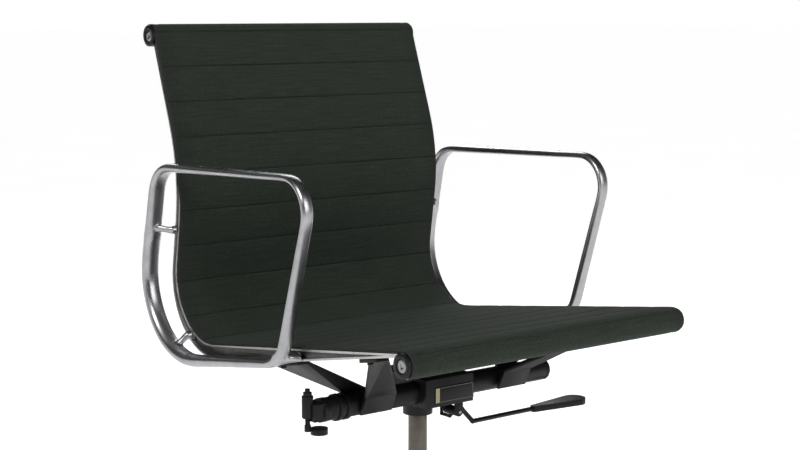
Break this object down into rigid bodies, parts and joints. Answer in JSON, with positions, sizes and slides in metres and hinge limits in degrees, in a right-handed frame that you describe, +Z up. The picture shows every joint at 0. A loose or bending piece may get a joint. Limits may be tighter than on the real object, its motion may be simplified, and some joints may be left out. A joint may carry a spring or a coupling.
{
  "type": "swivel office armchair",
  "caption": "Swivel armchair: padded sling between two aluminium side ribs, loop arms, torsion tilt, gas height column and a castered star base.",
  "frame": {"origin": "on the floor, on the column's swivel axis, which is the middle of the footprint", "axes": "+Z up along the column, -Y the way the sitter faces, +X to the side with the height lever"},
  "size_m": [0.694, 0.7141, 0.8743],
  "materials": {
    "polished_cast": "polished cast aluminium, worn",
    "polished_rib": "polished aluminium",
    "sling_fabric": "woven, very dark green",
    "black_steel": "satin black",
    "column_steel": "dark chromed",
    "bright_steel": "bright",
    "black_plastic": "moulded black",
    "wheel_plastic": "black nylon",
    "label_black": "blank black plate"
  },
  "bodies": {
    "base": {"base_star": "polished_cast", "column_sleeve": "black_steel", "guide_bush": "black_plastic"},
    "piston": {"thrust_bearing": "bright_steel", "piston_rod": "bright_steel", "rod_clip": "black_steel"},
    "carriage": {"gas_cylinder": "column_steel", "mechanism_housing": "black_steel", "pivot_bushes": "black_plastic", "label_plate": "label_black", "lever_bracket": "black_steel", "lever_pin": "bright_steel"},
    "release_pin": {"release_pin": "bright_steel"},
    "lever": {"lever_rod": "black_steel", "lever_paddle": "black_plastic"},
    "seat": {"pivot_tube": "black_steel", "tube_end_cap": "black_plastic", "tube_collars": "black_steel", "torsion_bar": "black_steel", "tension_block": "black_steel", "front_support_left": "black_steel", "front_support_right": "black_steel", "rear_support_left": "black_steel", "rear_support_right": "black_steel", "support_bolts": "black_steel", "rib_left": "polished_rib", "rib_right": "polished_rib", "front_roll_tube": "polished_rib", "top_roll_tube": "polished_rib", "end_caps": "black_plastic", "cap_screws": "bright_steel", "sling": "sling_fabric", "back_stretcher": "polished_rib", "seat_stretcher": "polished_rib", "arm_left": "polished_cast", "arm_right": "polished_cast", "arm_studs": "bright_steel"},
    "tension_crank": {"tension_crank": "black_steel"},
    "caster_1": {"caster_hood_1": "black_plastic", "caster_pins_1": "bright_steel"},
    "wheel_a_1": {"caster_wheel_a_1": "wheel_plastic"},
    "wheel_b_1": {"caster_wheel_b_1": "wheel_plastic"},
    "caster_2": {"caster_hood_2": "black_plastic", "caster_pins_2": "bright_steel"},
    "wheel_a_2": {"caster_wheel_a_2": "wheel_plastic"},
    "wheel_b_2": {"caster_wheel_b_2": "wheel_plastic"},
    "caster_3": {"caster_hood_3": "black_plastic", "caster_pins_3": "bright_steel"},
    "wheel_a_3": {"caster_wheel_a_3": "wheel_plastic"},
    "wheel_b_3": {"caster_wheel_b_3": "wheel_plastic"},
    "caster_4": {"caster_hood_4": "black_plastic", "caster_pins_4": "bright_steel"},
    "wheel_a_4": {"caster_wheel_a_4": "wheel_plastic"},
    "wheel_b_4": {"caster_wheel_b_4": "wheel_plastic"},
    "caster_5": {"caster_hood_5": "black_plastic", "caster_pins_5": "bright_steel"},
    "wheel_a_5": {"caster_wheel_a_5": "wheel_plastic"},
    "wheel_b_5": {"caster_wheel_b_5": "wheel_plastic"}
  },
  "joints": [
    {"name": "seat_swivel", "type": "hinge", "parent": "base", "child": "piston", "pos_m": [0, 0, 0.1], "axis": [0, 0, 1], "continuous": true},
    {"name": "height_slide", "type": "slide", "parent": "piston", "child": "carriage", "axis": [0, 0, 1], "range_m": [-0.055, 0.055]},
    {"name": "seat_tilt", "type": "hinge", "parent": "carriage", "child": "seat", "pos_m": [0, -0.045, 0.352], "axis": [-1, 0, 0], "range_deg": [0, 15], "stiffness_Nm_per_rad": 90, "springref_deg": -20.05},
    {"name": "tension_turn", "type": "hinge", "parent": "seat", "child": "tension_crank", "pos_m": [-0.228, -0.045, 0.36], "axis": [0, 0, 1], "continuous": true},
    {"name": "lever_lift", "type": "hinge", "parent": "carriage", "child": "lever", "pos_m": [0.03, -0.045, 0.315], "axis": [0, -1, 0], "range_deg": [0, 6], "stiffness_Nm_per_rad": 2, "springref_deg": -8.59},
    {"name": "pin_press", "type": "slide", "parent": "carriage", "child": "release_pin", "axis": [0, 0, -1], "range_m": [0, 0.0034]},
    {"name": "caster_swivel_1", "type": "hinge", "parent": "base", "child": "caster_1", "pos_m": [0, -0.31, 0.07], "axis": [0, 0, 1], "continuous": true},
    {"name": "wheel_a_1_spin", "type": "hinge", "parent": "caster_1", "child": "wheel_a_1", "pos_m": [0, -0.328, 0.025], "axis": [1, 0, 0], "continuous": true},
    {"name": "wheel_b_1_spin", "type": "hinge", "parent": "caster_1", "child": "wheel_b_1", "pos_m": [0, -0.328, 0.025], "axis": [1, 0, 0], "continuous": true},
    {"name": "caster_swivel_2", "type": "hinge", "parent": "base", "child": "caster_2", "pos_m": [0.29483, -0.0958, 0.07], "axis": [0, 0, 1], "continuous": true},
    {"name": "wheel_a_2_spin", "type": "hinge", "parent": "caster_2", "child": "wheel_a_2", "pos_m": [0.31195, -0.10136, 0.025], "axis": [0.309, 0.9511, 0], "continuous": true},
    {"name": "wheel_b_2_spin", "type": "hinge", "parent": "caster_2", "child": "wheel_b_2", "pos_m": [0.31195, -0.10136, 0.025], "axis": [0.309, 0.9511, 0], "continuous": true},
    {"name": "caster_swivel_3", "type": "hinge", "parent": "base", "child": "caster_3", "pos_m": [0.18221, 0.25079, 0.07], "axis": [0, 0, 1], "continuous": true},
    {"name": "wheel_a_3_spin", "type": "hinge", "parent": "caster_3", "child": "wheel_a_3", "pos_m": [0.19279, 0.26536, 0.025], "axis": [-0.809, 0.5878, 0], "continuous": true},
    {"name": "wheel_b_3_spin", "type": "hinge", "parent": "caster_3", "child": "wheel_b_3", "pos_m": [0.19279, 0.26536, 0.025], "axis": [-0.809, 0.5878, 0], "continuous": true},
    {"name": "caster_swivel_4", "type": "hinge", "parent": "base", "child": "caster_4", "pos_m": [-0.18221, 0.25079, 0.07], "axis": [0, 0, 1], "continuous": true},
    {"name": "wheel_a_4_spin", "type": "hinge", "parent": "caster_4", "child": "wheel_a_4", "pos_m": [-0.19279, 0.26536, 0.025], "axis": [-0.809, -0.5878, 0], "continuous": true},
    {"name": "wheel_b_4_spin", "type": "hinge", "parent": "caster_4", "child": "wheel_b_4", "pos_m": [-0.19279, 0.26536, 0.025], "axis": [-0.809, -0.5878, 0], "continuous": true},
    {"name": "caster_swivel_5", "type": "hinge", "parent": "base", "child": "caster_5", "pos_m": [-0.29483, -0.0958, 0.07], "axis": [0, 0, 1], "continuous": true},
    {"name": "wheel_a_5_spin", "type": "hinge", "parent": "caster_5", "child": "wheel_a_5", "pos_m": [-0.31195, -0.10136, 0.025], "axis": [0.309, -0.9511, 0], "continuous": true},
    {"name": "wheel_b_5_spin", "type": "hinge", "parent": "caster_5", "child": "wheel_b_5", "pos_m": [-0.31195, -0.10136, 0.025], "axis": [0.309, -0.9511, 0], "continuous": true}
  ],
  "couplings": [
    {"joint": "pin_press", "follows": "lever_lift", "m_per_rad": 0.032468}
  ]
}
